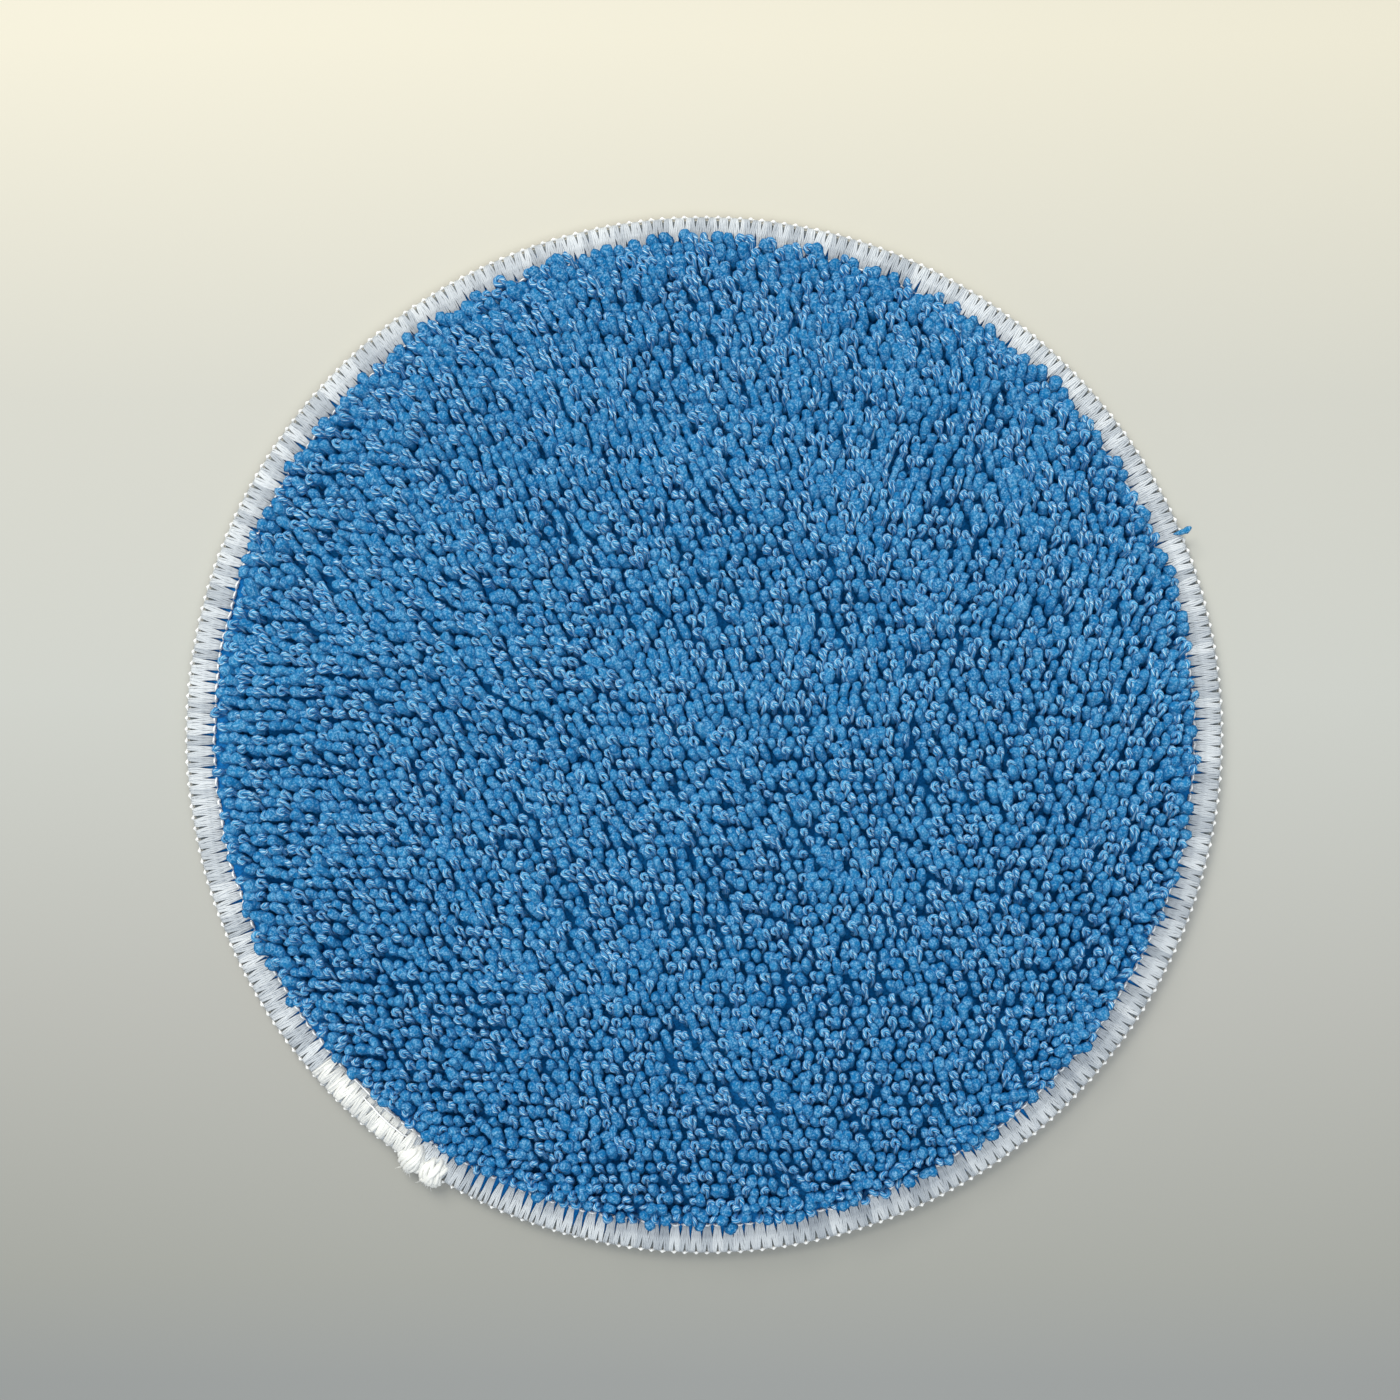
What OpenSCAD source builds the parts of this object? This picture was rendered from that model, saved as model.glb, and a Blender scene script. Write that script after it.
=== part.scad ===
// Round twist-loop polishing pad: a looped pile cloth, a thin foam and a brushed backing,
// squeezed together and bound round the edge with a three-thread overlock.
// The backing rests on z = 0 and the pile faces +Z.

/* [Pad] */
// Diameter over the overlocked edge
pad_d = 205; // [150:1:330]
// Width of the slope between the thick middle and the squeezed edge
slope_w = 3.4; // [2:0.1:6]
// Height of the squeezed edge's underside above the floor
edge_lift = 0.7; // [0.6:0.1:1.5]

/* [Layers] */
// Thickness of the brushed backing cloth
backing_t = 0.9; // [0.6:0.1:2]
// Thickness of the foam interlining
foam_t = 2.6; // [1:0.1:6]
// Thickness of the ground cloth that carries the pile
ground_t = 0.7; // [0.4:0.1:1.5]
// Share of its thickness that a layer keeps where the overlock squeezes it
edge_squeeze = 0.5; // [0.3:0.05:0.8]

/* [Pile] */
// Height of the leaning pile above the ground cloth
pile_h = 5.2; // [2:0.1:10]
// Distance between two wales of loops
wale_pitch = 2.3; // [1.8:0.1:4]
// Free space between two wales
wale_gap = 0.3; // [0.1:0.05:0.8]
// Width of the half ring where the yarn turns from one wale to the next
turn_w = 1.5; // [1:0.1:3]

/* [Overlock] */
// Width of the overlock from the needle line to the outer rim
seam_w = 5.4; // [3:0.1:8]
// Length of one overlock stitch along the rim
stitch_pitch = 2.2; // [1.5:0.1:4]
// Thickness of the textured looper threads as they lie on the cloth
looper_t = 0.5; // [0.3:0.05:0.8]
// Diameter of the needle thread
needle_t = 0.45; // [0.3:0.05:0.6]
// Depth of the open notch between two stitches
notch_depth = 1.5; // [0.5:0.1:2]
// How far the interlocked threads stand out past the cut edge of the cloth
purl_w = 0.7; // [0.4:0.1:1]

/* [Seam lap] */
// Direction of the lap, where the end of the overlock runs over its start
lap_angle = 234; // [0:1:359]
// Length of the lap along the rim
lap_length = 17; // [8:1:40]
// Extra thickness of the threads in the lap
lap_t = 0.8; // [0.4:0.1:1.5]
// How far the tail of the thread chain stands out past the rim
tail_out = 1.8; // [0.5:0.1:4]
// Diameter of the thread chain at its thick end
tail_d = 2.2; // [1:0.1:3]

/* [Hidden] */

round_fn = 180;
thread_fn = 32;
turn_steps = 60;
// Free space between a thread and its neighbour, so that each stays a solid of its own.
thread_gap = 0.05;

pad_r = pad_d / 2;
cut_r = pad_r - purl_w;
seam_r = pad_r - seam_w;
needle_r = seam_r - needle_t / 2 - thread_gap;
shoulder_r = needle_r - needle_t;
flat_r = shoulder_r - slope_w;
pile_r = needle_r - needle_t / 2 - thread_gap;

// Heights of the four faces between the layers, in the middle of the pad and at its edge.
mid_z = [0, backing_t, backing_t + foam_t, backing_t + foam_t + ground_t];
edge_z = [for (z = mid_z) edge_lift + z * edge_squeeze];
ground_top = mid_z[3];
rim_top = edge_z[3];

stitches = round(PI * pad_d / stitch_pitch);
stitch_deg = 360 / stitches;
lap_deg = lap_length / pad_r * 180 / PI;
lap_top = rim_top + looper_t + lap_t;

function polar(r, a) = [r * cos(a), r * sin(a)];

// Half the length of a circle's chord at distance x from its middle.
function chord(r, x) = sqrt(pow(r, 2) - pow(x, 2));

// A ring of points that swings between two radii, one full swing to each stitch.
function zigzag(r_on_stitch, r_between) =
    [for (i = [0:2 * stitches - 1]) polar(i % 2 == 0 ? r_on_stitch : r_between, i * stitch_deg / 2)];

// One layer of the pad: level in the middle, sloping down to its squeezed edge.
module layer(i) {
    rotate_extrude($fn = round_fn)
        polygon([
            [0, mid_z[i]], [flat_r, mid_z[i]], [shoulder_r, edge_z[i]], [cut_r, edge_z[i]],
            [cut_r, edge_z[i + 1]], [shoulder_r, edge_z[i + 1]], [flat_r, mid_z[i + 1]], [0, mid_z[i + 1]]
        ]);
}

// A round thread laid once round the pad.
module thread_ring(r, z, d) {
    rotate_extrude($fn = round_fn)
        translate([r, z])
            circle(d = d, $fn = thread_fn);
}

// The legs of a looper thread, running to and fro between the needle line and the rim.
module looper_legs(z) {
    translate([0, 0, z])
        linear_extrude(looper_t)
            difference() {
                polygon(zigzag(pad_r - notch_depth, pad_r));
                polygon(zigzag(seam_r, seam_r + notch_depth));
            }
}

// The outline of every second wale of loops, as a comb: straight wales joined by a half ring at
// their +Y ends, where the yarn turns from one wale to the next.
function wale_comb(first) =
    let(
        half_w = (wale_pitch - wale_gap) / 2,
        ring_r = pile_r - turn_w,
        end_r = ring_r - wale_gap,
        last = floor((end_r - half_w) / wale_pitch),
        wales = [for (i = [last:-1:-last]) if (abs(i) % 2 == first) i * wale_pitch],
        start = asin(wale_gap / pile_r)
    )
    concat(
        [for (i = [0:turn_steps]) polar(pile_r, 180 - start - i * (180 - 2 * start) / turn_steps)],
        [polar(ring_r, start)],
        [for (x = wales) let(end_y = -chord(end_r, abs(x) + half_w)) each [
            [x + half_w, chord(ring_r, x + half_w)], [x + half_w, end_y],
            [x - half_w, end_y], [x - half_w, chord(ring_r, x - half_w)]
        ]],
        [polar(ring_r, 180 - start)]
    );

module pile(first) {
    translate([0, 0, ground_top])
        linear_extrude(pile_h)
            polygon(wale_comb(first));
}

module backing_cloth() {
    color("#d9dde0") layer(0);
}

module foam_interlining() {
    color("#ece7d8") layer(1);
}

module ground_cloth() {
    color("#1f62a6") layer(2);
}

module soft_pile() {
    color("#3f8bd0") pile(0);
}

module scrub_pile() {
    color("#8fbbe0") mirror([0, 1, 0]) pile(1);
}

module needle_thread() {
    color("#f4f5f6") {
        thread_ring(needle_r, rim_top + needle_t / 2, needle_t);
        thread_ring(needle_r, edge_lift - needle_t / 2, needle_t);
    }
}

module upper_looper_thread() {
    color("#e6eaee") looper_legs(rim_top);
}

// The legs under the pad, and the purl that locks both loopers over the cut edge.
module lower_looper_thread() {
    color("#eef1f3") {
        looper_legs(edge_lift - looper_t);
        rotate_extrude($fn = round_fn)
            translate([cut_r + thread_gap, edge_lift + thread_gap])
                square([purl_w - thread_gap, rim_top - edge_lift - 2 * thread_gap]);
    }
}

// The second run of threads over the start of the first, along the top and down the rim.
module seam_lap() {
    color("#f3f2ec")
        rotate([0, 0, lap_angle - lap_deg / 2])
            rotate_extrude(angle = lap_deg, $fn = round_fn)
                polygon([
                    [seam_r, rim_top + looper_t], [pad_r, rim_top + looper_t], [pad_r, edge_lift],
                    [pad_r + lap_t, edge_lift], [pad_r + lap_t, lap_top - lap_t / 2],
                    [pad_r, lap_top], [seam_r + notch_depth, lap_top]
                ]);
}

// The cut end of the thread chain, standing out past the lap.
module thread_tail() {
    color("#f8f7f2")
        rotate([0, 0, lap_angle])
            translate([pad_r + lap_t, 0, edge_lift + tail_d / 2])
                rotate([0, 90, 0])
                    cylinder(h = tail_out - lap_t, d1 = tail_d, d2 = tail_d / 2, $fn = thread_fn);
}

backing_cloth();
foam_interlining();
ground_cloth();
soft_pile();
scrub_pile();
needle_thread();
upper_looper_thread();
lower_looper_thread();
seam_lap();
thread_tail();
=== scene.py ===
import math
import random

import bpy
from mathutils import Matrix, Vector


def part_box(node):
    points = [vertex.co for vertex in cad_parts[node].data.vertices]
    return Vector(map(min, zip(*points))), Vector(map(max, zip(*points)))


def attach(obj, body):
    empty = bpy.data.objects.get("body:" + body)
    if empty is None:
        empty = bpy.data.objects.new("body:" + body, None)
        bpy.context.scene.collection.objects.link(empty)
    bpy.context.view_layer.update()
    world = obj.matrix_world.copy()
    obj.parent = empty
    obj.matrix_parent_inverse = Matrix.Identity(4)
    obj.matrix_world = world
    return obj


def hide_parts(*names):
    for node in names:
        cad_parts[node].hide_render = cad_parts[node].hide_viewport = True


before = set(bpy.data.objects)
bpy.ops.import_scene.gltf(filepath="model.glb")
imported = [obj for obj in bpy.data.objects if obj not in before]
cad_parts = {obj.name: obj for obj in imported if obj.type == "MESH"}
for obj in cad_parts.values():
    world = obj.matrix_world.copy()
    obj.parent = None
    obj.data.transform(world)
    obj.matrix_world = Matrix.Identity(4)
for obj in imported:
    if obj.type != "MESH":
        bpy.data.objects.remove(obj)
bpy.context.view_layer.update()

# ---------------------------------------------------------------------------------------------
# The studio. The pad lies on a pale board under a wide soft light from beyond its far edge,
# and the camera looks straight down at it.
scene = bpy.context.scene
scene.view_settings.view_transform = "Standard"
pad_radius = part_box("upper_looper_thread")[1].x

camera_height = 0.42
pile_level = 0.003
frame_width = 2 * pad_radius * 1.351
camera_data = bpy.data.cameras.new("camera")
camera_data.sensor_width = 36
camera_data.lens = camera_data.sensor_width * (camera_height - pile_level) / frame_width
camera = bpy.data.objects.new("camera", camera_data)
camera.location = (-0.003 * frame_width, 0.025 * frame_width, camera_height)
scene.collection.objects.link(camera)
scene.camera = camera


def softbox(name, place, aim, size, power, colour):
    """A square area light at place, turned towards aim."""
    data = bpy.data.lights.new(name, "AREA")
    data.size = size
    data.energy = power
    data.color = colour
    lamp = bpy.data.objects.new(name, data)
    lamp.location = place
    lamp.rotation_euler = (Vector(aim) - Vector(place)).to_track_quat("-Z", "Y").to_euler()
    scene.collection.objects.link(lamp)


softbox("window", (-0.75, 1.30, 1.60), (0, 0, 0), 1.2, 45, (1.0, 0.965, 0.90))
softbox("ceiling", (0.1, -0.25, 1.1), (0, 0, 0), 0.9, 9.0, (0.95, 0.98, 1.0))

sky = bpy.data.worlds.new("room")
sky.use_nodes = True
sky.node_tree.nodes["Background"].inputs["Color"].default_value = (0.80, 0.88, 1.0, 1)
sky.node_tree.nodes["Background"].inputs["Strength"].default_value = 0.46
scene.world = sky

board_mesh = bpy.data.meshes.new("board")
board_reach = 1.5
board_mesh.from_pydata(
    [(x, y, 0) for x, y in ((-1, -1), (1, -1), (1, 1), (-1, 1))], [], [(0, 1, 2, 3)])
for corner in board_mesh.vertices:
    corner.co *= board_reach
board = bpy.data.objects.new("board", board_mesh)
scene.collection.objects.link(board)


class Field:
    """A value in a node tree. Sums with it add the nodes that work them out."""

    def __init__(self, tree, socket):
        self.tree = tree
        self.socket = socket

    def other(self, name):
        """Another output of the same node."""
        return Field(self.tree, self.socket.node.outputs[name])

    def maths(self, operation, *others):
        """The result of a Math node, or of a Vector Math node if a vector takes part."""
        fields = [self] + [other for other in others if isinstance(other, Field)]
        is_vector = any(field.socket.type in ("VECTOR", "RGBA") for field in fields)
        kind = "ShaderNodeVectorMath" if is_vector else "ShaderNodeMath"
        return put(self.tree, kind, self, *others, operation=operation)

    def __add__(self, other):
        return self.maths("ADD", other)

    def __sub__(self, other):
        return self.maths("SUBTRACT", other)

    def __mul__(self, other):
        return self.maths("MULTIPLY", other)

    def __truediv__(self, other):
        return self.maths("DIVIDE", other)


def put(tree, kind, *feeds, **settings):
    """Adds a node, sets it, and feeds its open inputs in order; None leaves one alone."""
    node = tree.nodes.new(kind)
    for name, value in settings.items():
        setattr(node, name, value)
    for socket, feed in zip([socket for socket in node.inputs if socket.enabled], feeds):
        if isinstance(feed, Field):
            tree.links.new(feed.socket, socket)
        elif socket.type == "VECTOR" and isinstance(feed, (int, float)):
            socket.default_value = (feed, feed, feed)
        elif feed is not None:
            socket.default_value = feed
    return Field(tree, next(socket for socket in node.outputs if socket.enabled))


board_finish = bpy.data.materials.new("pale_board")
board_finish.use_nodes = True
board_tree = board_finish.node_tree
board_shader = board_tree.nodes["Principled BSDF"]
# The board's colour greys from its far side to its near one: painted falloff of the light from beyond
# the far side.
up_board = put(board_tree, "ShaderNodeSeparateXYZ",
               put(board_tree, "ShaderNodeTexCoord").other("Object")).other("Y")
up_board = put(board_tree, "ShaderNodeMapRange", up_board, -0.15, 0.16, 0, 1)
painted_falloff_ramp = put(board_tree, "ShaderNodeValToRGB", up_board)
painted_falloff_stops = ((0.07, (0.197, 0.203, 0.194)), (0.14, (0.234, 0.235, 0.207)),
         (0.31, (0.308, 0.304, 0.273)), (0.51, (0.390, 0.393, 0.355)),
         (0.70, (0.424, 0.416, 0.362)), (0.93, (0.550, 0.516, 0.409)))
for place, colour in painted_falloff_stops[1:-1]:
    painted_falloff_ramp.socket.node.color_ramp.elements.new(place)
for element, (place, colour) in zip(painted_falloff_ramp.socket.node.color_ramp.elements, painted_falloff_stops):
    element.position = place
    element.color = (*colour, 1)
board_tree.links.new(painted_falloff_ramp.socket, board_shader.inputs["Base Color"])
board_shader.inputs["Roughness"].default_value = 0.55
board_mesh.materials.append(board_finish)

# ---------------------------------------------------------------------------------------------
# The backing cloth. A white loop knit, brushed on its outer face so that the hooks of a driver
# plate grip it; the pad rests on it. It rises to the edge, where the overlock squeezes it.
needle_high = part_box("needle_thread")[1]
rim_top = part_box("upper_looper_thread")[0].z
looper_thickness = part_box("upper_looper_thread")[1].z - rim_top
rim_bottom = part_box("lower_looper_thread")[0].z + looper_thickness
needle_thickness = needle_high.z - rim_top
needle_radius = needle_high.x - needle_thickness / 2
cut_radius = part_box("ground_cloth")[1].x
shoulder_radius = needle_radius - needle_thickness
slope_width = 0.0034
flat_radius = shoulder_radius - slope_width
middle_levels = [0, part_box("foam_interlining")[0].z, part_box("foam_interlining")[1].z,
                 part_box("ground_cloth")[1].z]


def smooth(low, high, value):
    """0 below low, 1 above high, and an even curve between them."""
    share = min(max((value - low) / (high - low), 0), 1)
    return share * share * (3 - 2 * share)


def level_height(level, radius):
    """The height of the face under layer number level, or over the last one, at a radius."""
    middle = middle_levels[level]
    edge = rim_bottom + (rim_top - rim_bottom) * middle / middle_levels[-1]
    return middle + (edge - middle) * smooth(flat_radius, shoulder_radius, radius)


def piece_from(name, corners, faces, finish=None):
    """A shaded-smooth object made of a list of corners and a list of faces."""
    mesh = bpy.data.meshes.new(name)
    mesh.from_pydata(corners, [], faces)
    mesh.polygons.foreach_set("use_smooth", [True] * len(mesh.polygons))
    mesh.update()
    if finish:
        mesh.materials.append(finish)
    piece = bpy.data.objects.new(name, mesh)
    scene.collection.objects.link(piece)
    return piece


def pad_layer(name, level, finish, spokes=128, skin=0.00002):
    """One closed layer of the pad, between its two faces, out to the cut edge."""
    flat_rings = [flat_radius * (i / 8) ** 0.7 for i in range(1, 9)]
    slope_rings = [flat_radius + (cut_radius - flat_radius) * i / 8 for i in range(1, 9)]
    rings = flat_rings + slope_rings
    corners = []
    faces = []
    for side, height in ((0, skin), (1, -skin)):
        corners.append((0, 0, level_height(level + side, 0) + height))
        for radius in rings:
            z = level_height(level + side, radius) + height
            for spoke in range(spokes):
                angle = math.tau * spoke / spokes
                corners.append((radius * math.cos(angle), radius * math.sin(angle), z))
    half = 1 + len(rings) * spokes

    def corner(side, ring, spoke):
        return side * half + 1 + ring * spokes + spoke % spokes

    for spoke in range(spokes):
        faces.append((0, corner(0, 0, spoke + 1), corner(0, 0, spoke)))
        faces.append((half, corner(1, 0, spoke), corner(1, 0, spoke + 1)))
        for ring in range(len(rings) - 1):
            faces.append((corner(0, ring, spoke), corner(0, ring, spoke + 1),
                          corner(0, ring + 1, spoke + 1), corner(0, ring + 1, spoke)))
            faces.append((corner(1, ring, spoke), corner(1, ring + 1, spoke),
                          corner(1, ring + 1, spoke + 1), corner(1, ring, spoke + 1)))
        last = len(rings) - 1
        faces.append((corner(0, last, spoke), corner(0, last, spoke + 1),
                      corner(1, last, spoke + 1), corner(1, last, spoke)))
    return piece_from(name, corners, faces, finish)


def start_tree(name, kind, inputs, outputs):
    """A node tree with named inputs and outputs, and a dictionary of its inputs' fields."""
    tree = bpy.data.node_groups.new(name, kind)
    for label, socket_kind in inputs:
        tree.interface.new_socket(label, in_out="INPUT", socket_type=socket_kind)
    for label, socket_kind in outputs:
        tree.interface.new_socket(label, in_out="OUTPUT", socket_type=socket_kind)
    entry = tree.nodes.new("NodeGroupInput")
    return tree, {label: Field(tree, entry.outputs[label]) for label, _ in inputs}


def end_tree(tree, *results):
    """Leads the results to the tree's outputs, in order."""
    leave = tree.nodes.new("NodeGroupOutput")
    for socket, result in zip(leave.inputs, results):
        tree.links.new(result.socket, socket)


def group_in(material, group, **values):
    """Places a shader node group in a material, and gives its outputs as fields."""
    tree = material.node_tree
    node = tree.nodes.new("ShaderNodeGroup")
    node.node_tree = group
    for name, value in values.items():
        node.inputs[name.replace("_", " ")].default_value = value
    return {socket.name: Field(tree, socket) for socket in node.outputs}


def cloth_finish(name, roughness, sheen, sheen_roughness, sheen_tint):
    """A new material with a matt, slightly hazy shader; its colour and bump are fed later."""
    material = bpy.data.materials.new(name)
    material.use_nodes = True
    shader = material.node_tree.nodes["Principled BSDF"]
    shader.inputs["Roughness"].default_value = roughness
    shader.inputs["Sheen Weight"].default_value = sheen
    shader.inputs["Sheen Roughness"].default_value = sheen_roughness
    shader.inputs["Sheen Tint"].default_value = (*sheen_tint, 1)
    shader.inputs["Specular IOR Level"].default_value = 0.06
    return material


def feed_shader(material, colour, height, strength, distance):
    """Feeds the material's colour and, through a Bump node, its relief."""
    tree = material.node_tree
    shader = tree.nodes["Principled BSDF"]
    tree.links.new(colour.socket, shader.inputs["Base Color"])
    bump = put(tree, "ShaderNodeBump", strength, distance)
    tree.links.new(height.socket, bump.socket.node.inputs["Height"])
    tree.links.new(bump.socket, shader.inputs["Normal"])


def mix(tree, share, first, second):
    """A colour between two colours."""
    return put(tree, "ShaderNodeMix", share, first, second, data_type="RGBA")


# Knit: rows of small V stitches in the piece's own X and Y, as a colour and a height. Where the stitches
# are low the colour goes to Shade: painted shade in the knit's hollows.
knit, ends = start_tree(
    "knit", "ShaderNodeTree",
    [("Colour", "NodeSocketColor"), ("Shade", "NodeSocketColor"),
     ("Wale", "NodeSocketFloat"), ("Fuzz", "NodeSocketFloat")],
    [("Colour", "NodeSocketColor"), ("Height", "NodeSocketFloat")])
here = put(knit, "ShaderNodeTexCoord").other("Object")
axes = put(knit, "ShaderNodeSeparateXYZ", here)
across = (axes / ends["Wale"]).maths("PINGPONG", 0.5)
along = axes.other("Y") / ends["Wale"] * 1.4
stitch = (along + across).maths("PINGPONG", 0.5) * 2
rib = (across * math.pi).maths("SINE")
fibres = put(knit, "ShaderNodeTexNoise", here, 2600, 3, 0.6)
height = stitch * 0.5 + rib * 0.4 + fibres * ends["Fuzz"]
end_tree(knit, mix(knit, height.maths("SUBTRACT", 0.25), ends["Shade"], ends["Colour"]), height)

backing_finish = cloth_finish("brushed_backing", 0.92, 0.25, 0.5, (1, 1, 1))
made = group_in(backing_finish, knit, Colour=(0.70, 0.72, 0.74, 1), Shade=(0.42, 0.44, 0.47, 1),
                Wale=0.0011, Fuzz=0.9)
feed_shader(backing_finish, made["Colour"], made["Height"], 0.7, 0.0002)
backing = pad_layer("backing_cloth_knit", 0, backing_finish)
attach(backing, "root")
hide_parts("backing_cloth")

# ---------------------------------------------------------------------------------------------
# The foam interlining. Thin open-cell foam that evens out the pressure of the plate. It is
# laid between the two cloths and crushed thin where the overlock holds all three layers.
foam_finish = cloth_finish("open_cell_foam", 0.95, 0.1, 0.6, (1, 0.98, 0.9))
foam_tree = foam_finish.node_tree
foam_place = put(foam_tree, "ShaderNodeTexCoord").other("Object")
cells = put(foam_tree, "ShaderNodeTexVoronoi", foam_place, 1500)
# Darker towards the middle of each cell, where the relief is lowest: painted shade in the foam's open
# pores.
foam_colour = mix(foam_tree, cells, (0.45, 0.40, 0.28, 1), (0.85, 0.80, 0.66, 1))
feed_shader(foam_finish, foam_colour, cells, 0.8, 0.0003)
foam = pad_layer("foam_sheet", 1, foam_finish)
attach(foam, "root")
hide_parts("foam_interlining")

# ---------------------------------------------------------------------------------------------
# The ground cloth. A dense blue knit that carries the pile loops; it shows only in the gaps
# between loops and between the overlock's stitches.
ground_finish = cloth_finish("ground_knit", 0.9, 0.15, 0.5, (0.5, 0.7, 1))
made = group_in(ground_finish, knit, Colour=(0.006, 0.155, 0.44, 1), Shade=(0.002, 0.095, 0.29, 1),
                Wale=0.0012, Fuzz=0.6)
tree = ground_finish.node_tree
ground_place = put(tree, "ShaderNodeTexCoord").other("Object")
from_middle = (ground_place * (1, 1, 0)).maths("LENGTH")
# Along its cut edge the cloth is painted grey: painted shade in the deep slits between the overlock's
# stitches.
slit_shade_start = cut_radius - 0.0018
slit_shade_end = cut_radius - 0.0008
edge_slit_shade = put(tree, "ShaderNodeMapRange", from_middle, slit_shade_start, slit_shade_end, 0, 1)
colour = mix(tree, edge_slit_shade, made["Colour"], (0.17, 0.19, 0.19, 1))
feed_shader(ground_finish, colour, made["Height"], 0.8, 0.0003)
ground = pad_layer("ground_knit_cloth", 2, ground_finish)
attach(ground, "root")
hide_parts("ground_cloth")

# ---------------------------------------------------------------------------------------------
# The pile. Two yarns are knitted into the ground cloth in turn: plump soft loops of microfibre,
# twisted into blunt fingers, and thinner pale loops of harder filament that curl into eyes.


def strand(points, radius_at, sides):
    """A closed tube along points: its corners, faces and the UV of each face's corners.
    radius_at(share, turn) gives the radius at a share of the length and round the tube."""
    corners = []
    faces = []
    uvs = []
    spans = [b - a for a, b in zip(points, points[1:])]
    ways = [spans[0]] + [a.normalized() + b.normalized() for a, b in zip(spans, spans[1:])]
    ways.append(spans[-1])
    normal = ways[0].orthogonal().normalized()
    for i, (point, way) in enumerate(zip(points, ways)):
        if i:
            normal = ways[i - 1].rotation_difference(way) @ normal
        beside = way.cross(normal).normalized()
        for j in range(sides):
            turn = math.tau * j / sides
            reach = radius_at(i / (len(points) - 1), turn)
            corners.append(point + (normal * math.cos(turn) + beside * math.sin(turn)) * reach)
    for i in range(len(points) - 1):
        for j in range(sides):
            k = (j + 1) % sides
            faces.append((i * sides + j, i * sides + k, (i + 1) * sides + k, (i + 1) * sides + j))
            low, high = i / (len(points) - 1), (i + 1) / (len(points) - 1)
            left, right = j / sides, (j + 1) / sides
            uvs += [(left, low), (right, low), (right, high), (left, high)]
    for ring, share, way in ((0, 0, 1), (len(points) - 1, 1, -1)):
        pole = len(corners)
        corners.append(points[ring] - ways[ring].normalized() * radius_at(share, 0) * 0.4 * way)
        for j in range(sides):
            a, b = ring * sides + j, ring * sides + (j + 1) % sides
            faces.append((pole, b, a) if way > 0 else (pole, a, b))
            uvs += [(0.5, share), (0.4, share), (0.6, share)]
    return corners, faces, uvs


def join_strands(name, strands, finish=None, collection=None):
    """One object out of several strands, with the UV map that their finish reads."""
    corners = []
    faces = []
    uvs = []
    for some_corners, some_faces, some_uvs in strands:
        faces += [[index + len(corners) for index in face] for face in some_faces]
        corners += some_corners
        uvs += some_uvs
    piece = piece_from(name, corners, faces, finish)
    layer = piece.data.uv_layers.new(name="along")
    layer.data.foreach_set("uv", [value for uv in uvs for value in uv])
    if collection:
        scene.collection.objects.unlink(piece)
        collection.objects.link(piece)
    return piece


loop_height = 0.0064
soft_radius = 0.00117


def soft_loop(name, turns, phase, bulges, collection):
    """A blunt finger of two fat plies, twisted round each other, with a few bulges."""
    rng = random.Random(name)
    heights = (0, 0.22, 0.42, 0.58, 0.71, 0.81, 0.89, 0.95, 0.99)
    points = [Vector((0, 0, share * loop_height)) for share in heights]

    def radius_at(share, turn):
        rise = heights[round(share * (len(heights) - 1))]
        body = 0.80 + 0.20 * smooth(0.1, 0.6, rise) + 0.08 * math.sin(math.tau * bulges * rise)
        dome = math.sqrt(max(1 - max((rise - 0.76) / 0.242, 0) ** 3, 0.06))
        groove = 0.76 + 0.24 * abs(math.cos(turn - phase - math.tau * turns * rise))
        return soft_radius * body * dome * groove * rng.uniform(0.94, 1.06)

    return join_strands(name, [strand(points, radius_at, 8)], collection=collection)


def eye_loop(name, turns, eye, twist, thickness, collection):
    """A yarn that climbs as a twisted pair and curls over into a small tight eye at its tip."""
    stem_top = loop_height - 2 * eye - thickness
    stem = []
    for i in range(4):
        rise = i / 3
        angle = math.pi / 2 - math.tau * turns * (1 - rise)
        stem.append(Vector((math.cos(angle), math.sin(angle), 0)) * thickness * 0.95
                    + Vector((0, 0, rise * stem_top)))
    back = [Vector((-point.x, -point.y, point.z)) for point in reversed(stem)]
    tip = []
    for i in range(1, 8):
        angle = math.radians(-60 + 300 * i / 8)
        side = Vector((math.sin(twist), math.cos(twist), 0)) * math.cos(angle) * eye * 0.85
        fold = Vector((math.cos(twist), -math.sin(twist), 0)) * math.sin(angle * 1.5) * eye * 0.3
        tip.append(side + fold + Vector((0, 0, stem_top + eye * (0.95 + 1.2 * math.sin(angle)))))
    shape = strand(stem + tip + back, lambda share, turn: thickness, 5)
    return join_strands(name, [shape], collection=collection)


soft_loops = bpy.data.collections.new("soft_loops")
for number, (turns, phase, bulges) in enumerate(
        ((0.9, 0.0, 2.2), (1.2, 0.8, 1.7), (0.7, 1.7, 2.7), (1.4, 2.5, 2.0), (1.0, 3.0, 2.4))):
    soft_loop(f"soft_loop_{number}", turns, phase, bulges, soft_loops)
eye_loops = bpy.data.collections.new("eye_loops")
for number, (turns, eye, twist, thickness) in enumerate(
        ((0.5, 0.00064, 0.0, 0.00050), (0.9, 0.00058, 0.3, 0.00050), (0.7, 0.00072, -0.3, 0.00047),
         (1.2, 0.00052, 0.7, 0.00052), (0.6, 0.00062, -0.6, 0.00049))):
    eye_loop(f"eye_loop_{number}", turns, eye, twist, thickness, eye_loops)

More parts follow.
